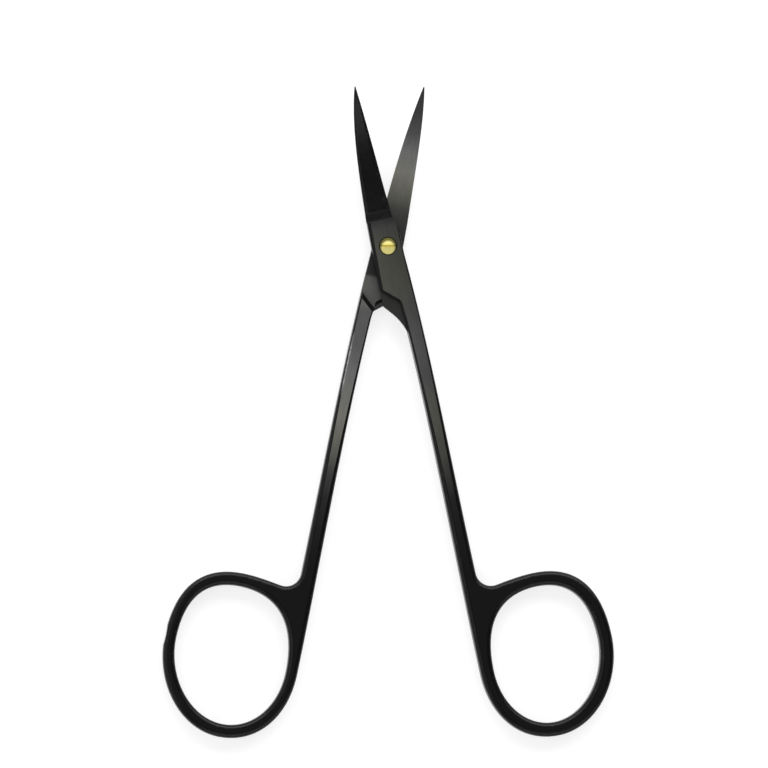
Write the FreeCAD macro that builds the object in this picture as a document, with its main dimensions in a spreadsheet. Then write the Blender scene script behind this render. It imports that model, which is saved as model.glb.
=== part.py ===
import FreeCAD, Part
import Sketcher
import math
import os

# Gum scissors: fine ring-handled dental scissors with blades curved upward, 130 mm long
# when shut. Two blackened steel halves are half-lapped at the joint and turn on a slotted
# gold screw that is threaded into the lower half.
# Millimetres. The pivot axis is Z through the origin, the scissors lie on the plane z = 0
# and the tips point along +Y. Each half is drawn shut, with its middle on the Y axis, and
# is then turned about the pivot to its open place.

doc = FreeCAD.newDocument("gum_scissors")
dims = doc.addObject("Spreadsheet::Sheet", "dims")

SIZES = {
    # the joint, drawn from the pivot
    "open_half_angle": 12.1,
    "joint_height": 4.4,
    "leaf_clearance": 0.08,
    "spine_reach": 3.3,
    "front_spine_reach": 2.93,
    "edge_reach": 2.8,
    "front_edge_reach": 2.2,
    "edge_corner": 1.9,
    "waist_reach": 2.78,
    "waist_back": 2.0,
    "flat_front": 5.2,
    "upper_tail": 8.0,
    "lower_tail": 9.85,
    "upper_crotch": 10.9,
    "lower_crotch": 12.7,
    "upper_crotch_inner": 0.0,
    "lower_crotch_inner": 0.08,
    "tail_round": 1.5,
    "crotch_round": 1.2,
    "shoulder_clearance": 1.3,
    "relief_start": 5.9,
    "relief_end": 14.0,
    "relief_depth": 0.4,
    "spine_bevel": 0.6,
    "crotch_bevel": 0.65,
    # the shanks
    "shank_start": 14.0,
    "shank_inner": 0.22,
    "shank_outer": 3.22,
    "inner_pull": 1.02,
    "inner_pull_back": 36.0,
    "inner_release_back": 64.0,
    "outer_pull": 3.75,
    "outer_pull_back": 22.0,
    "outer_release": 3.15,
    "outer_release_back": 48.0,
    "shank_root_height": 3.2,
    "shank_end": 60.0,
    "root_rounding": 0.35,
    # the finger rings
    "ring_height": 3.6,
    "ring_gap": 0.03,
    "ring_back": 82.93,
    "ring_width": 26.3,
    "ring_length": 31.5,
    "ring_lean": 0.75,
    "ring_sway": 1.0,
    "lower_side_band": 2.2,
    "lower_end_band": 2.55,
    "upper_side_band": 2.6,
    "upper_end_band": 2.7,
    "hole_lean": 0.9,
    "hole_sway": 1.1,
    "ring_rounding": 0.9,
    "neck_drop": 1.27,
    "neck_round": 3.0,
    "dent_depth": 0.2,
    "dent_length": 5.2,
    "dent_back": 81.7,
    # the blades
    "blade_reach": 30.9,
    "blade_rise": 7.0,
    "heel_run": 1.4,
    "heel_step_run": 0.35,
    "heel_step_thickness": 1.6,
    "heel_spine_reach": 2.85,
    "heel_edge_reach": 2.12,
    "spine_taper": 1.4,
    "edge_taper": 1.45,
    "tip_spine_reach": 0.28,
    "tip_edge_reach": -0.06,
    "root_thickness": 1.35,
    "tip_thickness": 0.45,
    "grind_share": 0.2,
    "grind_height_share": 0.5,
    "edge_land": 0.08,
    # the pivot screw
    "pin_diameter": 2.0,
    "bore_clearance": 0.03,
    "head_diameter": 3.15,
    "recess_diameter": 3.5,
    "recess_depth": 0.75,
    "head_seat_clearance": 0.03,
    "head_dome": 0.35,
    "slot_width": 0.4,
    "slot_depth": 0.5,
    # the thin lip of the upper half over the other half's shoulder
    "lip_gap": 0.1,
    "lip_height": 0.55,
    "lip_corner_back": 11.2,
    "lip_back": 17.0,
}
for row, (alias, number) in enumerate(SIZES.items(), start=1):
    dims.set(f"A{row}", alias)
    dims.set(f"B{row}", str(number))
    dims.setAlias(f"B{row}", alias)
doc.recompute()

LYING = FreeCAD.Rotation()
SIDEWAYS = FreeCAD.Rotation(FreeCAD.Vector(1, 1, 1), 120)
ACROSS = FreeCAD.Rotation(FreeCAD.Vector(1, 0, 0), 90)
TOP = "dims.joint_height"
LEAF_TOP = "((dims.joint_height - dims.leaf_clearance) / 2)"
LEAF_BOTTOM = "((dims.joint_height + dims.leaf_clearance) / 2)"
EVERYTHING = "(4 * (dims.ring_gap + dims.ring_width))"
OUTSIDE = "(2.5 * dims.spine_reach)"
NEAR = 0.02
NECK_EASE = 0.4


def val(expression):
    """The number that an expression on the sheet gives."""
    return float(dims.evalExpression(expression))


def bind_point(sketch, edge, end, x, y):
    """Hold one end of a sketch edge at a place given by two expressions."""
    for kind, expression in (("DistanceX", x), ("DistanceY", y)):
        rule = Sketcher.Constraint(kind, -1, 1, edge, end, val(expression))
        index = sketch.addConstraint(rule)
        sketch.setExpression(f"Constraints[{index}]", expression)


def add_loop(sketch, corners, bends):
    """A closed line through corners; bends gives two inner poles for a curved side."""
    points = [FreeCAD.Vector(val(x), val(y), 0) for x, y in corners]
    count = len(points)
    first = sketch.GeometryCount
    for side in range(count):
        start, end = points[side], points[(side + 1) % count]
        if side in bends:
            curve = Part.BezierCurve()
            inner = [FreeCAD.Vector(val(x), val(y), 0) for x, y in bends[side]]
            curve.setPoles([start] + inner + [end])
            sketch.addGeometry(curve.toBSpline())
        else:
            sketch.addGeometry(Part.LineSegment(start, end))
    for side in range(count):
        after = first + (side + 1) % count
        sketch.addConstraint(Sketcher.Constraint("Coincident", first + side, 2, after, 1))
        bind_point(sketch, first + side, 1, *corners[side])


def outline(name, corners, turn=LYING, bends=None):
    """A sketch of one closed line."""
    sketch = doc.addObject("Sketcher::SketchObject", name)
    sketch.Placement = FreeCAD.Placement(FreeCAD.Vector(), turn)
    add_loop(sketch, corners, bends or {})
    return sketch


def prism(name, sketch, length, both_ways=False):
    """A sketch drawn out along its normal."""
    solid = doc.addObject("Part::Extrusion", name)
    solid.Base = sketch
    solid.DirMode = "Normal"
    solid.Solid = True
    solid.Symmetric = both_ways
    solid.setExpression("LengthFwd", length)
    return solid


def lift(thing, expression):
    thing.setExpression("Placement.Base.z", expression)


def common(name, first, second):
    shared = doc.addObject("Part::Common", name)
    shared.Base = first
    shared.Tool = second
    shared.Refine = True
    return shared


def cut(name, base, tool):
    rest = doc.addObject("Part::Cut", name)
    rest.Base = base
    rest.Tool = tool
    rest.Refine = True
    return rest


def fuse(name, pieces):
    whole = doc.addObject("Part::MultiFuse", name)
    whole.Shapes = pieces
    whole.Refine = True
    return whole


def loft(name, sections, ruled):
    skin = doc.addObject("Part::Loft", name)
    skin.Sections = sections
    skin.Solid = True
    skin.Ruled = ruled
    return skin


def cylinder(name, diameter, height, low):
    rod = doc.addObject("Part::Cylinder", name)
    rod.setExpression("Radius", f"({diameter}) / 2")
    rod.setExpression("Height", height)
    lift(rod, low)
    return rod


def treat_edges(kind, name, base, picked):
    """A Part fillet or chamfer; picked holds an edge number and its two sizes."""
    treated = doc.addObject(kind, name)
    treated.Base = base
    treated.Edges = picked
    doc.recompute()
    return treated


def upright_edge(base, x, y):
    """The number of the vertical edge that stands at a place in plan."""
    for number, edge in enumerate(base.Shape.Edges, start=1):
        if len(edge.Vertexes) != 2:
            continue
        low, high = (vertex.Point for vertex in edge.Vertexes)
        if math.hypot(low.x - high.x, low.y - high.y) > NEAR:
            continue
        if math.hypot(low.x - x, low.y - y) < NEAR:
            return number
    raise ValueError(f"{base.Name} has no upright edge at {x:.2f}, {y:.2f}")


RING_FULLNESS = (0.66, 0.6, 0.59, 0.54)
HOLE_FULLNESS = (0.66, 0.65, 0.57, 0.53)


def ring_curve(half_width, half_length, lean, sway, fullness):
    """Outermost, front, innermost and back points of an oval ring, with its curved sides."""
    middle = "(dims.ring_gap + dims.ring_width / 2)"
    ends = [
        (f"{middle} + {half_width}", f"-dims.ring_back + {sway}"),
        (f"{middle} + {lean}", f"-dims.ring_back + {half_length}"),
        (f"{middle} - {half_width}", f"-dims.ring_back - {sway}"),
        (f"{middle} - {lean}", f"-dims.ring_back - {half_length}"),
    ]
    curves = []
    for index, full in enumerate(fullness):
        start, end = ends[index], ends[(index + 1) % 4]
        corner = (start[0], end[1]) if index % 2 == 0 else (end[0], start[1])
        curves.append([
            tuple(f"({full}) * ({c}) + (1 - {full}) * ({p})" for c, p in zip(corner, start)),
            tuple(f"({full}) * ({c}) + (1 - {full}) * ({p})" for c, p in zip(corner, end)),
        ])
    return ends, curves


def on_side(side, places):
    return [(f"{side} * ({across})", along) for across, along in places]


def handle_plan(half, side):
    """The half seen from above without its blade: joint, shank and finger ring."""
    ends, curves = ring_curve(
        "dims.ring_width / 2", "dims.ring_length / 2", "dims.ring_lean", "dims.ring_sway",
        RING_FULLNESS)
    outermost, front, innermost, back = ends
    neck = ("dims.shank_outer", f"{front[1]} - dims.neck_drop")
    third = f"(({front[0]}) - dims.shank_outer) / 3"
    corners = [
        ("-dims.front_spine_reach", "dims.flat_front"),
        ("-dims.spine_reach", f"-dims.{half}_tail"),
        (f"dims.{half}_crotch_inner", f"-dims.{half}_crotch"),
        ("dims.shank_inner", "-dims.shank_start"),
        innermost, back, outermost, front, neck,
        ("dims.waist_reach", "-dims.waist_back"),
        ("dims.edge_reach", "dims.edge_corner"),
        ("dims.front_edge_reach", "dims.flat_front"),
    ]
    bends = {
        3: [("dims.inner_pull", "-dims.inner_pull_back"),
            (innermost[0], "-dims.inner_release_back")],
        4: curves[2],
        5: curves[3],
        6: curves[0],
        7: [(f"({front[0]}) - {third}", front[1]),
            (f"({neck[0]}) + {third}", f"({neck[1]}) + dims.neck_drop * {NECK_EASE}")],
        8: [("dims.outer_release", "-dims.outer_release_back"),
            ("dims.outer_pull", "-dims.outer_pull_back")],
    }
    hole_ends, hole_curves = ring_curve(
        f"(dims.ring_width / 2 - dims.{half}_side_band)",
        f"(dims.ring_length / 2 - dims.{half}_end_band)",
        "dims.hole_lean", "dims.hole_sway", HOLE_FULLNESS)
    sketch = doc.addObject("Sketcher::SketchObject", f"{half}_plan")
    add_loop(sketch, on_side(side, corners), {n: on_side(side, b) for n, b in bends.items()})
    add_loop(
        sketch, on_side(side, hole_ends), {n: on_side(side, b) for n, b in enumerate(hole_curves)})
    crotch, tail = corners[2], corners[1]
    rounds = [(neck, "neck_round"), (crotch, "crotch_round"), (tail, "tail_round")]
    return sketch, [(side * val(x), val(y), val(f"dims.{size}")) for (x, y), size in rounds]


def side_profile(half, low_root, high_root):
    """The half seen from its side: the shank runs in an easy S down to the ring."""
    start, end = "-dims.shank_start", "-dims.shank_end"
    far = "-(dims.ring_back + dims.ring_length)"
    near = "dims.flat_front * 2"
    corners = [
        (near, low_root), (start, low_root), (end, "0"), (far, "0"),
        (far, "dims.ring_height"), (end, "dims.ring_height"), (start, high_root),
        (near, high_root),
    ]
    early = "-(dims.shank_start * 2 + dims.shank_end) / 3"
    late = "-(dims.shank_start + dims.shank_end * 2) / 3"
    bends = {
        1: [(early, low_root), (late, "0")],
        5: [(late, "dims.ring_height"), (early, high_root)],
    }
    return outline(f"{half}_profile", corners, SIDEWAYS, bends)


def edge_rounding(y):
    """The rounding of the handle's edges, which grows down the shank to the ring."""
    start, end = -val("dims.shank_start"), -val("dims.shank_end")
    share = min(max((y - start) / (end - start), 0.0), 1.0)
    return (1 - share) * val("dims.root_rounding") + share * val("dims.ring_rounding")


def spine_bevel_tool(half, side, level, away):
    """What the file takes off along the spine of the joint, on its outer face."""
    sections = []
    width = "dims.spine_bevel"
    ends = [
        ("front", "dims.flat_front", "dims.front_spine_reach"),
        ("tail", f"-dims.{half}_tail", "dims.spine_reach"),
    ]
    for end, back, spine in ends:
        corners = [
            (f"-{side} * ({spine} - 2 * {width})", f"{level} + {away} * {width}"),
            (f"-{side} * ({spine} + {width})", f"{level} - {away} * 2 * {width}"),
            (f"-{side} * ({spine} + {width})", f"{level} + {away} * {width}"),
        ]
        section = outline(f"{half}_bevel_{end}", corners, ACROSS)
        section.setExpression("Placement.Base.y", back)
        sections.append(section)
    return loft(f"{half}_bevel", sections, ruled=True)


def handle(half, side, low_root, high_root):
    """Joint, shank and ring as one bar, with the edges of the handle rounded."""
    plan, rounds = handle_plan(half, side)
    plate = prism(f"{half}_plate", plan, "dims.joint_height * 2")
    doc.recompute()
    picked = [(upright_edge(plate, x, y), radius, radius) for x, y, radius in rounds]
    blank = treat_edges("Part::Fillet", f"{half}_rounded_plate", plate, picked)
    profile = side_profile(half, low_root, high_root)
    slab = prism(f"{half}_slab", profile, EVERYTHING, both_ways=True)
    bar = common(f"{half}_bar", blank, slab)
    doc.recompute()
    start = -val("dims.shank_start")
    upright = val("dims.shank_root_height") / 2
    picked = []
    for number, edge in enumerate(bar.Shape.Edges, start=1):
        box = edge.BoundBox
        if box.ZLength > upright or box.YLength < NEAR or box.YMin > start - NEAR:
            continue
        radii = [edge_rounding(edge.valueAt(end).y) for end in edge.ParameterRange]
        picked.append((number, *radii))
    return treat_edges("Part::Fillet", f"{half}_handle", bar, picked)


def lap_tool(half, side, other, face, away):
    """What is taken off one half so that the other half's leaf lies against it."""
    span = f"{OUTSIDE} / dims.spine_reach"
    tail = f"(dims.{other}_tail + dims.shoulder_clearance)"
    crotch = f"(dims.{other}_crotch + dims.shoulder_clearance)"
    outer_back = f"-({crotch} + ({tail} - {crotch}) * {span})"
    inner_back = f"-2 * {OUTSIDE}"
    corners = [
        (f"{side} * {OUTSIDE}", outer_back), ("0", f"-{crotch}"), ("0", inner_back),
        (f"-{side} * {OUTSIDE}", inner_back), (f"-{side} * {OUTSIDE}", OUTSIDE),
        (f"{side} * {OUTSIDE}", OUTSIDE),
    ]
    ground = outline(f"{half}_lap_plan", corners)
    lift(ground, f"-{OUTSIDE}")
    column = prism(f"{half}_lap_column", ground, EVERYTHING)
    slope = [
        (OUTSIDE, face), ("-dims.relief_start", face),
        ("-dims.relief_end", f"{face} + {away} * dims.relief_depth"),
        ("-dims.relief_end", f"{face} - {away} * {OUTSIDE}"),
        (OUTSIDE, f"{face} - {away} * {OUTSIDE}"),
    ]
    side_view = outline(f"{half}_lap_side", slope, SIDEWAYS)
    wedge = prism(f"{half}_lap_wedge", side_view, EVERYTHING, both_ways=True)
    return column, common(f"{half}_lap", column, wedge)


def crotch_bevel_tool(column):
    """The wedge filed off the lower leaf along its tail, up to the shoulder."""
    width = "(dims.crotch_bevel * 1.4)"
    top = f"({LEAF_TOP} - dims.relief_depth)"
    lean = "((dims.lower_crotch - dims.lower_tail) / dims.spine_reach)"
    sections = []
    for name, reach in (("shoulder", "-dims.spine_reach"), ("spine", "2 * dims.spine_reach")):
        back = f"(-dims.lower_crotch + {lean} * {reach})"
        corners = [
            (f"{back} + 2 * {width}", f"{top} + {width}"),
            (f"{back} - {width}", f"{top} - 2 * {width}"),
            (f"{back} - {width}", f"{top} + {width}"),
        ]
        section = outline(f"crotch_bevel_{name}", corners, SIDEWAYS)
        section.setExpression("Placement.Base.x", reach)
        sections.append(section)
    return common("crotch_bevel", loft("crotch_bevel_wedge", sections, ruled=True), column)


def ring_dent():
    """A shallow hollow knocked into the rim of the left ring."""
    bulge = "((dims.dent_length ^ 2 / 4 + dims.dent_depth ^ 2) / (2 * dims.dent_depth))"
    rod = cylinder("ring_dent", f"2 * {bulge}", EVERYTHING, f"-{EVERYTHING} / 2")
    reach = "(dims.ring_gap + dims.ring_width - dims.dent_depth)"
    rod.setExpression("Placement.Base.x", f"-({reach} + {bulge})")
    rod.setExpression("Placement.Base.y", "-dims.dent_back")
    return rod


def blade_section(name, side, face, away, back, spine, edge, thick, bevel, grind, land, shoulder):
    """One cross-section of a blade: flat inner face, spine, bevel and ground edge."""
    corners = [
        (f"-{side} * ({spine})", face),
        (f"-{side} * ({spine})", f"{face} + {away} * ({thick} - {bevel})"),
        (f"-{side} * ({spine} - {bevel})", f"{face} + {away} * ({thick})"),
        (f"{side} * ({edge} - {grind})", f"{face} + {away} * ({shoulder})"),
        (f"{side} * ({edge})", f"{face} + {away} * ({land})"),
        (f"{side} * ({edge})", face),
    ]
    section = outline(name, corners, ACROSS)
    section.setExpression("Placement.Base.y", back)
    return section


STATIONS = (0.0, 0.12, 0.26, 0.4, 0.54, 0.67, 0.79, 0.89, 0.96, 1.0)


def blade(half, side, face, away):
    """The heel that steps down from the joint, and the blade that curves up from it."""
    run = "(dims.blade_reach - dims.flat_front - dims.heel_run)"
    bend = f"(({run} ^ 2 + dims.blade_rise ^ 2) / (2 * dims.blade_rise))"
    heel_width = "(dims.heel_spine_reach + dims.heel_edge_reach)"
    sections = []
    for number, share in enumerate(STATIONS):
        back = f"dims.flat_front + dims.heel_run + {share} * {run}"
        rise = f"({bend} - sqrt({bend} ^ 2 - ({share} * {run}) ^ 2))"
        spine = (f"(dims.heel_spine_reach - dims.spine_taper * {share} - (dims.heel_spine_reach"
                 f" - dims.spine_taper - dims.tip_spine_reach) * {share} ^ 4)")
        edge = (f"(dims.heel_edge_reach - dims.edge_taper * {share} - (dims.heel_edge_reach"
                f" - dims.edge_taper - dims.tip_edge_reach) * {share} ^ 3)")
        thick = f"(dims.root_thickness - (dims.root_thickness - dims.tip_thickness) * {share})"
        width = f"({spine} + {edge})"
        sections.append(blade_section(
            f"{half}_blade_{number}", side, f"({face} + {rise})", away, back, spine, edge, thick,
            bevel=f"dims.spine_bevel * {width} / {heel_width}",
            grind=f"dims.grind_share * {width}",
            land="dims.edge_land",
            shoulder=f"dims.grind_height_share * {thick}",
        ))
    leaf = "((dims.joint_height - dims.leaf_clearance) / 2)"
    root = blade_section(
        f"{half}_heel_root", side, face, away, "dims.flat_front",
        "dims.front_spine_reach", "dims.front_edge_reach", leaf,
        bevel="dims.spine_bevel", grind="dims.spine_bevel", land=leaf, shoulder=leaf,
    )
    share = "(dims.heel_step_run / dims.heel_run)"
    step = blade_section(
        f"{half}_heel_step", side, face, away, "dims.flat_front + dims.heel_step_run",
        f"dims.front_spine_reach + (dims.heel_spine_reach - dims.front_spine_reach) * {share}",
        f"dims.front_edge_reach + (dims.heel_edge_reach - dims.front_edge_reach) * {share}",
        "dims.heel_step_thickness",
        bevel="dims.spine_bevel", grind="dims.spine_bevel", land="dims.edge_land",
        shoulder="dims.heel_step_thickness * (1 + dims.grind_height_share) / 2",
    )
    heel = loft(f"{half}_heel", [root, step, sections[0]], ruled=True)
    return [heel, loft(f"{half}_blade", sections, ruled=False)]


def lip():
    """The thin lip at the crotch of the upper half, over the other half's shoulder."""
    corners = [
        ("-dims.spine_reach", "-dims.upper_tail + dims.tail_round"),
        ("-dims.spine_reach", "-dims.lip_corner_back"),
        ("dims.shank_inner", "-dims.lip_back"),
        ("dims.waist_reach / 2", "-dims.lip_back"),
        ("dims.waist_reach / 2", "-dims.upper_tail + dims.tail_round"),
    ]
    third = "(dims.lip_back - dims.lip_corner_back) / 3"
    bends = {1: [("-dims.spine_reach / 2", f"-dims.lip_corner_back - {third}"),
                 ("-dims.spine_reach / 6", f"-dims.lip_corner_back - {third} * 1.6")]}
    plan = outline("lip_plan", corners, LYING, bends)
    lift(plan, "dims.shank_root_height + dims.lip_gap")
    return prism("lip", plan, "dims.lip_height")


def screw():
    """The slotted pivot screw, turned from one bar, its end filed flush with the lower half."""
    body = doc.addObject("PartDesign::Body", "pivot_screw")
    planes = {plane.Role: plane for plane in body.Origin.OriginFeatures}
    profile = body.newObject("Sketcher::SketchObject", "screw_profile")
    profile.AttachmentSupport = [(planes["XZ_Plane"], "")]
    profile.MapMode = "FlatFace"
    seat = "dims.joint_height - dims.recess_depth + dims.head_seat_clearance"
    crown = "dims.joint_height + dims.head_dome"
    corners = [
        ("0", "0"),
        ("dims.pin_diameter / 2", "0"),
        ("dims.pin_diameter / 2", seat),
        ("dims.head_diameter / 2", seat),
        ("dims.head_diameter / 2", "dims.joint_height"),
        ("0", crown),
    ]
    points = [FreeCAD.Vector(val(x), val(y), 0) for x, y in corners]
    bulge = "((dims.head_diameter / 2) ^ 2 + dims.head_dome ^ 2) / (2 * dims.head_dome)"
    radius = val(bulge)
    centre = FreeCAD.Vector(0, val(crown) - radius, 0)
    first = math.atan2(points[4].y - centre.y, points[4].x)
    for index, start in enumerate(points):
        end = points[(index + 1) % len(points)]
        if index == 4:
            circle = Part.Circle(centre, FreeCAD.Vector(0, 0, 1), radius)
            profile.addGeometry(Part.ArcOfCircle(circle, first, math.pi / 2))
        else:
            profile.addGeometry(Part.LineSegment(start, end))
    for index, place in enumerate(corners):
        profile.addConstraint(
            Sketcher.Constraint("Coincident", index, 2, (index + 1) % len(corners), 1))
        bind_point(profile, index, 1, *place)
    rule = profile.addConstraint(Sketcher.Constraint("Radius", 4, radius))
    profile.setExpression(f"Constraints[{rule}]", bulge)
    turned = body.newObject("PartDesign::Revolution", "screw_turned")
    turned.Profile = profile
    turned.ReferenceAxis = (profile, ["V_Axis"])
    turned.Angle = 360
    slot_plan = body.newObject("Sketcher::SketchObject", "slot_plan")
    slot_plan.AttachmentSupport = [(planes["XY_Plane"], "")]
    slot_plan.MapMode = "FlatFace"
    slot_plan.setExpression("AttachmentOffset.Base.z", crown)
    corners = [
        ("-dims.head_diameter", "-dims.slot_width / 2"),
        ("dims.head_diameter", "-dims.slot_width / 2"),
        ("dims.head_diameter", "dims.slot_width / 2"),
        ("-dims.head_diameter", "dims.slot_width / 2"),
    ]
    points = [FreeCAD.Vector(val(x), val(y), 0) for x, y in corners]
    for index, start in enumerate(points):
        slot_plan.addGeometry(Part.LineSegment(start, points[(index + 1) % 4]))
    for index, place in enumerate(corners):
        slot_plan.addConstraint(
            Sketcher.Constraint("Coincident", index, 2, (index + 1) % 4, 1))
        bind_point(slot_plan, index, 1, *place)
    doc.recompute()
    slot = body.newObject("PartDesign::Pocket", "screw_slot")
    slot.Profile = slot_plan
    slot.setExpression("Length", "dims.slot_depth")
    body.Tip = slot
    return body


def turn_open(half, side, base, tool):
    """The finished half, turned about the pivot from the shut line to its open place."""
    finished = cut(f"{half}_half", base, tool)
    axis = FreeCAD.Vector(0, 0, side)
    turned = FreeCAD.Rotation(axis, val("dims.open_half_angle"))
    finished.Placement = FreeCAD.Placement(FreeCAD.Vector(), turned)
    finished.setExpression("Placement.Rotation.Angle", "dims.open_half_angle")
    finished.Label = f"{half}_half"
    return finished


# the lower half: right blade, left ring, and the thread for the screw
lower_bar = handle("lower", -1, "0", "dims.shank_root_height")
lower_column, lower_lap = lap_tool("lower", -1, "upper", LEAF_TOP, -1)
lower_lapped = cut("lower_lapped", lower_bar, lower_lap)
lower_filed = cut("lower_filed", lower_lapped, crotch_bevel_tool(lower_column))
lower_joint = cut("lower_joint", lower_filed, spine_bevel_tool("lower", -1, "0", -1))
lower_blank = fuse("lower_blank", [lower_joint] + blade("lower", -1, LEAF_TOP, -1))
tapped_hole = cylinder("tapped_hole", "dims.pin_diameter", f"2 * {TOP}", f"-{TOP}")
lower_dents = fuse("lower_dents", [tapped_hole, ring_dent()])
lower_half = turn_open("lower", -1, lower_blank, lower_dents)

# the upper half: left blade, right ring, the bore and the recess for the screw head
upper_bar = handle("upper", 1, f"{TOP} - dims.shank_root_height", TOP)
upper_lap = lap_tool("upper", 1, "lower", LEAF_BOTTOM, 1)[1]
upper_lapped = cut("upper_lapped", upper_bar, upper_lap)
upper_joint = cut("upper_joint", upper_lapped, spine_bevel_tool("upper", 1, TOP, 1))
upper_blank = fuse("upper_blank", [upper_joint, lip()] + blade("upper", 1, LEAF_BOTTOM, 1))
bore = cylinder("bore", "dims.pin_diameter + 2 * dims.bore_clearance", TOP, f"{TOP} / 4")
recess = cylinder("recess", "dims.recess_diameter", TOP, f"{TOP} - dims.recess_depth")
upper_half = turn_open("upper", 1, upper_blank, fuse("screw_room", [bore, recess]))

pivot_screw = screw()
doc.recompute()
finished_parts = [lower_half, upper_half, pivot_screw]
for thing in doc.Objects:
    if "Invalid" in thing.State or "Error" in thing.State:
        raise RuntimeError(f"{thing.Name} failed: {thing.State}")
for thing in finished_parts:
    if thing.Shape.isNull() or not thing.Shape.isValid() or len(thing.Shape.Solids) != 1:
        raise RuntimeError(f"{thing.Name} is not one sound solid")

os.makedirs("parts", exist_ok=True)
for thing in finished_parts:
    thing.Shape.exportStep(f"parts/{thing.Label}.step")
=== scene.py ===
import math

import bpy
from mathutils import Matrix, Vector

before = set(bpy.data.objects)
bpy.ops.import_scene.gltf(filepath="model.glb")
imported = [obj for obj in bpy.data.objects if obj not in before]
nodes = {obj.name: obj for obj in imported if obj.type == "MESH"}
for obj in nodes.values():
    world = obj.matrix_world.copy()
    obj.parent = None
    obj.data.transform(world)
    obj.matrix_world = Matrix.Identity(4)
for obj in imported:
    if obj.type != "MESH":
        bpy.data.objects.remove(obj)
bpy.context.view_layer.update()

scene = bpy.context.scene
bpy.ops.object.select_all(action="DESELECT")

# The lower half is one drop forging of steel: right blade, joint leaf, left shank and ring.
# The joint, the upper shank and the inner face of the blade are ground flat and left satin,
# the rest is polished, and a hard black coating goes over it all, greyer on the ground flats.
# The greys of the flats also hold painted light: its fall along the shanks, and a painted
# reflection on the inner face of the blade.
MILLIMETRES = 1000.0
OPEN_HALF_ANGLE = math.radians(12.1)
STEP_BLUR = 0.1

# How far a surface faces up where it is ground flat, on the rounding of its edges, and on
# the inner face of the blade. The joint's flats end at its front.
FLAT_FACING = (0.984, 0.998)
ROUNDING_STARTS = (0.70, 0.80)
ROUNDING_ENDS = (0.93, 0.89)
INNER_FACING = (0.80, 0.86)
JOINT_FRONT = 5.3

# The coating is darkest on the ring and paler towards the blade.
COAT_DARK = (0.0020, 0.0020, 0.0022, 1)
COAT_PALE = (0.0030, 0.0030, 0.0032, 1)
COAT_ENDS = (-45.0, 2.0)
COAT_SHARES = (0.7, 2.2)
COAT_ROUGHNESS = (0.27, 0.30)
COAT_GLOSS = 0.28
GROUND_ROUGHNESS = 0.42

# Brushing strokes, mottle, clouds and grain, as detail and roughness of a noise and its
# scale, and how much strokes and clouds change the tone of the ground flats.
ROUGH_NOISE = (4.0, 0.6)
SMOOTH_NOISE = (2.0, 0.5)
NOISE_SPAN = (0.3, 0.7)
STROKE_STRETCH = (4.0, 0.35, 1.0)
MOTTLE_SCALE = 0.9
CLOUD_SCALE = 0.16
GRAIN_SCALE = 7.0
STROKE_SHARES = (0.90, 1.10)
CLOUD_SHARES = (0.92, 1.08)
GRAIN_BUMP = 0.1
BUMP_DEPTH = 0.00002

# Tones of the ground flats, partly their own grey and partly painted light: the rise and fall
# along the shank and the dimming towards the ring are painted light, and the bright stretch in
# front of the joint is a painted reflection on the inner face of the blade. Each tone gives the
# distance along the half in millimetres from the pivot, the grey, and how olive the grey is.
ALONG = (-70.0, 32.0)
OLIVE_BLUE = 0.83
LOWER_TONES_AND_LIGHT = (
    (-63, 0.0025, 0.0), (-57, 0.007, 0.0), (-50, 0.016, 0.0), (-45, 0.046, 0.1),
    (-40, 0.120, 0.9), (-34, 0.185, 0.9), (-26, 0.152, 0.1), (-20, 0.098, 0.0),
    (-13, 0.100, 0.0), (-12, 0.124, 0.4), (-6.4, 0.118, 0.4), (-5.8, 0.024, 0.2),
    (3, 0.036, 0.0), (6, 0.038, 0.2), (8, 0.056, 0.6), (10.8, 0.120, 1.0), (14.6, 0.205, 0.8),
    (18.4, 0.185, 0.1), (22.3, 0.082, 0.0), (26, 0.043, 0.0), (31, 0.026, 0.0),
)

# Painted shadow: a dark band behind the shoulder, where the step shades the flat, left in the
# black of the coating. It leans forward to both sides and is shifted forward beside the crotch.
SHOULDER_SHADOW_FRONT = -12.2
SHOULDER_SHADOW_WIDTH = 0.95
SHOULDER_SHADOW_BACK = SHOULDER_SHADOW_FRONT - SHOULDER_SHADOW_WIDTH
SHOULDER_SHADOW_LEAN = 0.88
SHOULDER_SHADOW_CROTCH_SHIFT = 1.3

# Bright steel shows where the coating is rubbed off the edges. A bright line of the same
# colour also runs along part of the outer edge of the shank.
BRIGHT_EDGE_COLOUR = (0.42, 0.42, 0.42, 1)
RUBBED_SPAN = (0.52, 0.72)
RUBBED_SHARE = 0.05
BRIGHT_LINE_ACROSS = 2.9
BRIGHT_LINE_HALF_WIDTHS = (0.18, 0.06)
BRIGHT_LINE_BACK = (-30.5, -27.5)
BRIGHT_LINE_FRONT = (-17.0, -20.0)
BRIGHT_LINE_PATCHES = (0.35, 0.6, 0.25, 1.0)


def new_material(name):
    material = bpy.data.materials.new(name)
    material.use_nodes = True
    tree = material.node_tree
    tree.nodes.clear()
    shader = tree.nodes.new("ShaderNodeBsdfPrincipled")
    output = tree.nodes.new("ShaderNodeOutputMaterial")
    tree.links.new(shader.outputs["BSDF"], output.inputs["Surface"])
    return material, tree, shader


def give(node_name, material):
    piece = nodes[node_name]
    piece.data.materials.clear()
    piece.data.materials.append(material)


def add_noise(tree, place, scale, detail, roughness):
    noise = tree.nodes.new("ShaderNodeTexNoise")
    noise.inputs["Scale"].default_value = scale
    noise.inputs["Detail"].default_value = detail
    noise.inputs["Roughness"].default_value = roughness
    tree.links.new(place, noise.inputs["Vector"])
    return noise.outputs["Fac"]


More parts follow.
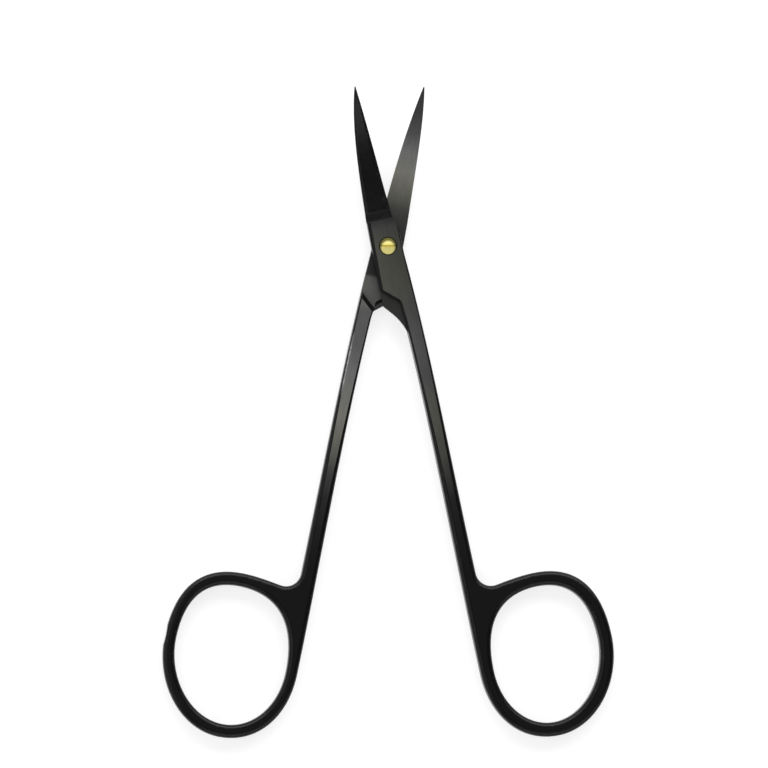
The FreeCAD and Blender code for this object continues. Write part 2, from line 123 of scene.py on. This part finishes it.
def spread(tree, value, low, high, to_low=0.0, to_high=1.0, soft=False):
    """A value between low and high, spread between to_low and to_high."""
    ranged = tree.nodes.new("ShaderNodeMapRange")
    ranged.interpolation_type = "SMOOTHSTEP" if soft else "LINEAR"
    ranged.inputs["From Min"].default_value = low
    ranged.inputs["From Max"].default_value = high
    ranged.inputs["To Min"].default_value = to_low
    ranged.inputs["To Max"].default_value = to_high
    tree.links.new(value, ranged.inputs["Value"])
    return ranged.outputs["Result"]


def calculate(tree, operation, first, second=0.0):
    node = tree.nodes.new("ShaderNodeMath")
    node.operation = operation
    for socket, value in zip(node.inputs, (first, second)):
        if isinstance(value, (int, float)):
            socket.default_value = value
        else:
            tree.links.new(value, socket)
    return node.outputs["Value"]


def multiply(tree, first, second):
    return calculate(tree, "MULTIPLY", first, second)


def outside(tree, mask):
    return calculate(tree, "SUBTRACT", 1.0, mask)


def mix_colours(tree, share, first, second, blend_type="MIX"):
    node = tree.nodes.new("ShaderNodeMix")
    node.data_type = "RGBA"
    node.blend_type = blend_type
    sockets = (node.inputs[0], node.inputs[6], node.inputs[7])
    for socket, value in zip(sockets, (share, first, second)):
        if isinstance(value, (int, float, tuple)):
            socket.default_value = value
        else:
            tree.links.new(value, socket)
    return node.outputs[2]


def add_bump(tree, shader, height, strength):
    bump = tree.nodes.new("ShaderNodeBump")
    bump.inputs["Strength"].default_value = strength
    bump.inputs["Distance"].default_value = BUMP_DEPTH
    tree.links.new(height, bump.inputs["Height"])
    tree.links.new(bump.outputs["Normal"], shader.inputs["Normal"])


def measure_half(tree, side):
    """Millimetres from the pivot on a half drawn shut: the place, and its across, along and up.

    The side is 1 for the upper half and -1 for the lower, which is its mirror image.
    """
    shut = tree.nodes.new("ShaderNodeMapping")
    shut.inputs["Scale"].default_value = (side * MILLIMETRES, MILLIMETRES, MILLIMETRES)
    shut.inputs["Rotation"].default_value = (0, 0, -OPEN_HALF_ANGLE)
    tree.links.new(tree.nodes.new("ShaderNodeTexCoord").outputs["Object"], shut.inputs["Vector"])
    split = tree.nodes.new("ShaderNodeSeparateXYZ")
    tree.links.new(shut.outputs["Vector"], split.inputs["Vector"])
    return shut.outputs["Vector"], *split.outputs


def facing_up(tree):
    split = tree.nodes.new("ShaderNodeSeparateXYZ")
    normal = tree.nodes.new("ShaderNodeNewGeometry").outputs["Normal"]
    tree.links.new(normal, split.inputs["Vector"])
    return split.outputs["Z"]


def behind_joint_front(tree, along):
    return spread(tree, along, JOINT_FRONT + STEP_BLUR, JOINT_FRONT - STEP_BLUR)


def coat_colour(tree, mottle, along):
    coat = mix_colours(tree, spread(tree, mottle, *NOISE_SPAN), COAT_DARK, COAT_PALE)
    return mix_colours(tree, 1.0, coat, spread(tree, along, *COAT_ENDS, *COAT_SHARES), "MULTIPLY")


def brushing_strokes(tree, place):
    stretched = tree.nodes.new("ShaderNodeMapping")
    stretched.inputs["Scale"].default_value = STROKE_STRETCH
    tree.links.new(place, stretched.inputs["Vector"])
    return add_noise(tree, stretched.outputs["Vector"], 1.0, *ROUGH_NOISE)


def stroke_and_cloud_shares(tree, place, strokes):
    cloud = add_noise(tree, place, CLOUD_SCALE, *SMOOTH_NOISE)
    return multiply(
        tree, spread(tree, strokes, *NOISE_SPAN, *STROKE_SHARES),
        spread(tree, cloud, *NOISE_SPAN, *CLOUD_SHARES))


def tone_and_light_ramp(tree, along, tones):
    """A ramp of tones over distances along the half, partly painted light."""
    node = tree.nodes.new("ShaderNodeValToRGB")
    stops = node.color_ramp.elements
    for _ in tones[2:]:
        stops.new(1.0)
    for stop, (place, grey, olive) in zip(stops, tones):
        stop.position = (place - ALONG[0]) / (ALONG[1] - ALONG[0])
        stop.color = (grey, grey, grey * (1.0 - olive * (1.0 - OLIVE_BLUE)), 1)
    tree.links.new(spread(tree, along, *ALONG), node.inputs["Fac"])
    return node.outputs["Color"]


def rubbed_edges(tree, level, mottle):
    rounding = multiply(
        tree, spread(tree, level, *ROUNDING_STARTS, soft=True),
        spread(tree, level, *ROUNDING_ENDS, soft=True))
    patches = spread(tree, mottle, *RUBBED_SPAN, 0.0, RUBBED_SHARE, soft=True)
    return multiply(tree, rounding, patches)


def coat_roughness(tree, mottle, ground):
    coat = spread(tree, mottle, *NOISE_SPAN, *COAT_ROUGHNESS)
    step = multiply(tree, ground, calculate(tree, "SUBTRACT", GROUND_ROUGHNESS, coat))
    return calculate(tree, "ADD", coat, step)


def add_grain(tree, shader, place, ground, strokes):
    """A fine grain all over, and the brushing strokes on the ground flats."""
    grain = add_noise(tree, place, GRAIN_SCALE, *SMOOTH_NOISE)
    height = calculate(tree, "ADD", grain, multiply(tree, ground, strokes))
    add_bump(tree, shader, height, GRAIN_BUMP)


lower_coating, tree, shader = new_material("lower_black_coating")
place, across, along, _ = measure_half(tree, -1)
upward = facing_up(tree)
level = calculate(tree, "ABSOLUTE", upward)
strokes = brushing_strokes(tree, place)
mottle = add_noise(tree, place, MOTTLE_SCALE, *ROUGH_NOISE)

behind = behind_joint_front(tree, along)
ground = multiply(tree, spread(tree, level, *FLAT_FACING, soft=True), behind)
# The painted shadow behind the shoulder, which takes the grey of the flats away.
leaning = multiply(tree, calculate(tree, "ABSOLUTE", across), SHOULDER_SHADOW_LEAN)
past = calculate(tree, "SUBTRACT", along, leaning)
shift = spread(tree, across, STEP_BLUR, -STEP_BLUR, 0.0, SHOULDER_SHADOW_CROTCH_SHIFT)
past = calculate(tree, "SUBTRACT", past, shift)
shoulder_shadow = multiply(
    tree, spread(tree, past, SHOULDER_SHADOW_BACK - STEP_BLUR, SHOULDER_SHADOW_BACK),
    spread(tree, past, SHOULDER_SHADOW_FRONT + STEP_BLUR, SHOULDER_SHADOW_FRONT))
ground = multiply(tree, ground, outside(tree, shoulder_shadow))
# The inner face of the blade takes the flats' tones, with their painted reflection.
inner_face = multiply(
    tree, spread(tree, upward, *INNER_FACING, soft=True), outside(tree, behind))
ground = calculate(tree, "ADD", ground, inner_face)

# A bright line along part of the outer edge of the shank, joined to the rubbed edges.
beside_line = calculate(
    tree, "ABSOLUTE", calculate(tree, "SUBTRACT", across, BRIGHT_LINE_ACROSS))
bright_line_stretch = multiply(
    tree, spread(tree, along, *BRIGHT_LINE_BACK, soft=True),
    spread(tree, along, *BRIGHT_LINE_FRONT, soft=True))
bright_edge_line = multiply(
    tree, spread(tree, beside_line, *BRIGHT_LINE_HALF_WIDTHS, soft=True), bright_line_stretch)
bright_edge_line = multiply(tree, bright_edge_line, spread(tree, mottle, *BRIGHT_LINE_PATCHES))
rubbed = calculate(tree, "MAXIMUM", rubbed_edges(tree, level, mottle), bright_edge_line)

shares = stroke_and_cloud_shares(tree, place, strokes)
# The flats' grey, with the painted light of the tones along the half.
flat_colour_and_light = mix_colours(tree, 1.0, tone_and_light_ramp(tree, along, LOWER_TONES_AND_LIGHT), shares, "MULTIPLY")
colour = mix_colours(tree, ground, coat_colour(tree, mottle, along), flat_colour_and_light)
colour = mix_colours(tree, rubbed, colour, BRIGHT_EDGE_COLOUR)
tree.links.new(colour, shader.inputs["Base Color"])
tree.links.new(coat_roughness(tree, mottle, ground), shader.inputs["Roughness"])
shader.inputs["Specular IOR Level"].default_value = COAT_GLOSS
add_grain(tree, shader, place, ground, strokes)
give("lower_half", lower_coating)

# The upper half is the matching forging: left blade, joint leaf with the screw's recess,
# right shank and ring, ground, polished and coated in the same way. Its heel, where the
# blade leaves the joint, is left matt, and the low lip beside the crotch is darkened with
# painted shade.
# Tones of the upper ground flats, partly painted light along the half as on the lower half.
UPPER_TONES_AND_LIGHT = (
    (-63, 0.0025, 0.0), (-57, 0.006, 0.0), (-50, 0.012, 0.0), (-45, 0.042, 0.3),
    (-40, 0.067, 0.8), (-34, 0.092, 1.0), (-26, 0.076, 0.0), (-20, 0.082, 0.0),
    (-14, 0.070, 0.1), (-8, 0.061, 1.0), (1, 0.056, 1.0), (3.5, 0.046, 0.3), (5, 0.024, 0.0),
)
ACROSS_ENDS = (-2.5, 3.0)
ACROSS_SHARES = (1.32, 0.80)
LIP_LEVELS = (4.15, 4.0)
LIP_BACK = -18.0
LIP_SHADE_SHARE = 0.35
HEEL_BACK = 5.2
HEEL_FRONT = (7.6, 6.4)
HEEL_ROUGHNESS = 1.0

upper_coating, tree, shader = new_material("upper_black_coating")
place, across, along, height = measure_half(tree, 1)
level = calculate(tree, "ABSOLUTE", facing_up(tree))
strokes = brushing_strokes(tree, place)
mottle = add_noise(tree, place, MOTTLE_SCALE, *ROUGH_NOISE)

ground = multiply(
    tree, spread(tree, level, *FLAT_FACING, soft=True), behind_joint_front(tree, along))
# Painted shade on the low lip beside the crotch: its flats keep only part of their grey.
lip_shade = multiply(
    tree, spread(tree, height, *LIP_LEVELS),
    spread(tree, along, LIP_BACK - STEP_BLUR, LIP_BACK))
ground = multiply(tree, ground, spread(tree, lip_shade, 0.0, 1.0, 1.0, LIP_SHADE_SHARE))
heel = multiply(
    tree, spread(tree, along, HEEL_BACK - STEP_BLUR, HEEL_BACK + STEP_BLUR),
    spread(tree, along, *HEEL_FRONT, 0.0, HEEL_ROUGHNESS, soft=True))

shares = multiply(
    tree, stroke_and_cloud_shares(tree, place, strokes),
    spread(tree, across, *ACROSS_ENDS, *ACROSS_SHARES))
# The flats' grey, with the painted light of the tones along the half.
flat_colour_and_light = mix_colours(tree, 1.0, tone_and_light_ramp(tree, along, UPPER_TONES_AND_LIGHT), shares, "MULTIPLY")
colour = mix_colours(tree, ground, coat_colour(tree, mottle, along), flat_colour_and_light)
colour = mix_colours(tree, rubbed_edges(tree, level, mottle), colour, BRIGHT_EDGE_COLOUR)
tree.links.new(colour, shader.inputs["Base Color"])
roughness = calculate(tree, "MAXIMUM", coat_roughness(tree, mottle, ground), heel)
tree.links.new(roughness, shader.inputs["Roughness"])
shader.inputs["Specular IOR Level"].default_value = COAT_GLOSS
add_grain(tree, shader, place, ground, strokes)
give("upper_half", upper_coating)

# The pivot screw is turned steel with a domed, slotted head, plated with pale gold.
# It threads into the lower half, and the upper half turns on its shank.
# Fine lathe lines run round the head, and the side towards the tips is darkened with painted
# shade, a dark olive crescent on the rim.
GOLD_DEEP = (1.0, 0.87, 0.30, 1)
GOLD_PALE = (1.0, 0.96, 0.44, 1)
GOLD_SHADE = (0.16, 0.14, 0.04, 1)
GOLD_ROUGHNESS = (0.58, 0.66)
LATHE_SCALE = 7.0
LATHE_BUMP = 0.15
GOLD_SHADE_SHIFT = -0.38
GOLD_SHADE_RADII = (1.05, 1.60)


def change_vector(tree, operation, vector, amounts):
    node = tree.nodes.new("ShaderNodeVectorMath")
    node.operation = operation
    node.inputs[1].default_value = amounts
    tree.links.new(vector, node.inputs[0])
    return node.outputs["Vector"]


def length_of(tree, vector):
    node = tree.nodes.new("ShaderNodeVectorMath")
    node.operation = "LENGTH"
    tree.links.new(vector, node.inputs[0])
    return node.outputs["Value"]


gold_plating, tree, shader = new_material("gold_plating")
place = tree.nodes.new("ShaderNodeTexCoord").outputs["Object"]
from_axis = change_vector(tree, "MULTIPLY", place, (MILLIMETRES, MILLIMETRES, 0))
lathe_lines = tree.nodes.new("ShaderNodeTexNoise")
lathe_lines.noise_dimensions = "1D"
lathe_lines.inputs["Scale"].default_value = LATHE_SCALE
tree.links.new(length_of(tree, from_axis), lathe_lines.inputs["W"])
turning = lathe_lines.outputs["Fac"]
# Painted shade: a dark olive crescent on the rim, on the side of the head towards the tips.
from_lit_middle = change_vector(tree, "SUBTRACT", from_axis, (0, GOLD_SHADE_SHIFT, 0))
gold_shade = spread(tree, length_of(tree, from_lit_middle), *GOLD_SHADE_RADII, soft=True)

colour = mix_colours(tree, spread(tree, turning, *NOISE_SPAN), GOLD_DEEP, GOLD_PALE)
colour = mix_colours(tree, gold_shade, colour, GOLD_SHADE)
roughness = spread(tree, turning, *NOISE_SPAN, *GOLD_ROUGHNESS)
tree.links.new(colour, shader.inputs["Base Color"])
tree.links.new(roughness, shader.inputs["Roughness"])
shader.inputs["Metallic"].default_value = 1.0
add_bump(tree, shader, turning, LATHE_BUMP)
give("pivot_screw", gold_plating)

# The floor is a plain white sheet that the scissors lie on.
# It shows white to the camera and in reflections, and still takes their soft shadow.
SHEET_SIZE = 3.0
SHEET_DROP = 0.00002
SHEET_COLOUR = (0.5, 0.5, 0.5, 1)
SHEET_ROUGHNESS = 0.9
SHEET_GLOW = 0.72

bpy.ops.mesh.primitive_plane_add(size=SHEET_SIZE, location=(0, 0, -SHEET_DROP))
floor = bpy.context.object
floor.name = "floor"
white_sheet, tree, shader = new_material("white_sheet")
shader.inputs["Base Color"].default_value = SHEET_COLOUR
shader.inputs["Roughness"].default_value = SHEET_ROUGHNESS
shader.inputs["Specular IOR Level"].default_value = 0.0
shader.inputs["Emission Color"].default_value = (1, 1, 1, 1)
rays = tree.nodes.new("ShaderNodeLightPath").outputs
reflected = calculate(tree, "MAXIMUM", rays["Is Glossy Ray"], rays["Is Transmission Ray"])
shown = calculate(tree, "MAXIMUM", rays["Is Camera Ray"], reflected)
tree.links.new(multiply(tree, shown, SHEET_GLOW), shader.inputs["Emission Strength"])
floor.data.materials.append(white_sheet)

# Three large soft lamps stand low behind the tips, at the left and before the rings.
# The room itself is dim, so that the polished black stays black from above.
ROOM_COLOUR = (0.9, 0.9, 0.9, 1)
ROOM_LIGHT = 0.12
LAMP_AIM = Vector((0, -0.03, 0))

world = bpy.data.worlds.new("studio")
scene.world = world
world.use_nodes = True
room = world.node_tree.nodes["Background"]
room.inputs["Color"].default_value = ROOM_COLOUR
room.inputs["Strength"].default_value = ROOM_LIGHT


def soft_lamp(name, place, size, watts):
    lamp_data = bpy.data.lights.new(name, "AREA")
    lamp_data.shape = "RECTANGLE"
    lamp_data.size, lamp_data.size_y = size
    lamp_data.energy = watts
    lamp = bpy.data.objects.new(name, lamp_data)
    scene.collection.objects.link(lamp)
    lamp.location = place
    lamp.rotation_euler = (LAMP_AIM - Vector(place)).to_track_quat("-Z", "Y").to_euler()


soft_lamp("back_lamp", place=(0.1, 1.0, 0.78), size=(2.2, 0.9), watts=18.0)
soft_lamp("left_lamp", place=(-0.95, 0.0, 0.8), size=(1.4, 1.2), watts=4.0)
soft_lamp("ring_lamp", place=(0.3, -1.05, 0.8), size=(2.0, 1.0), watts=7.0)

# The camera looks down on the scissors from far off, a little from their left and from
# the side of the rings, as the picture was taken.
VIEW_DISTANCE = 1.11
VIEW_FROM_LEFT = math.radians(5.0)
VIEW_FROM_RINGS = math.radians(3.6)
VIEW_TURN = math.radians(-0.26)
VIEW_MIDDLE = Vector((-0.0007, -0.0264, 0.0022))
VIEW_WIDTH = 0.1475
SENSOR_WIDTH = 36.0

towards_camera = Vector((
    -math.sin(VIEW_FROM_LEFT) * math.cos(VIEW_FROM_RINGS),
    -math.sin(VIEW_FROM_RINGS),
    math.cos(VIEW_FROM_LEFT) * math.cos(VIEW_FROM_RINGS),
))
camera_place = VIEW_MIDDLE + towards_camera * VIEW_DISTANCE
level_way = Vector((0, 1, 0)).cross(towards_camera).normalized()
upright_way = towards_camera.cross(level_way)
side_way = level_way * math.cos(VIEW_TURN) + upright_way * math.sin(VIEW_TURN)
up_way = towards_camera.cross(side_way)

camera_data = bpy.data.cameras.new("camera")
camera_data.sensor_width = SENSOR_WIDTH
camera_data.lens = SENSOR_WIDTH * VIEW_DISTANCE / VIEW_WIDTH
camera = bpy.data.objects.new("camera", camera_data)
scene.collection.objects.link(camera)
camera.matrix_world = Matrix((
    (side_way.x, up_way.x, towards_camera.x, camera_place.x),
    (side_way.y, up_way.y, towards_camera.y, camera_place.y),
    (side_way.z, up_way.z, towards_camera.z, camera_place.z),
    (0, 0, 0, 1),
))
scene.camera = camera
scene.view_settings.view_transform = "Standard"
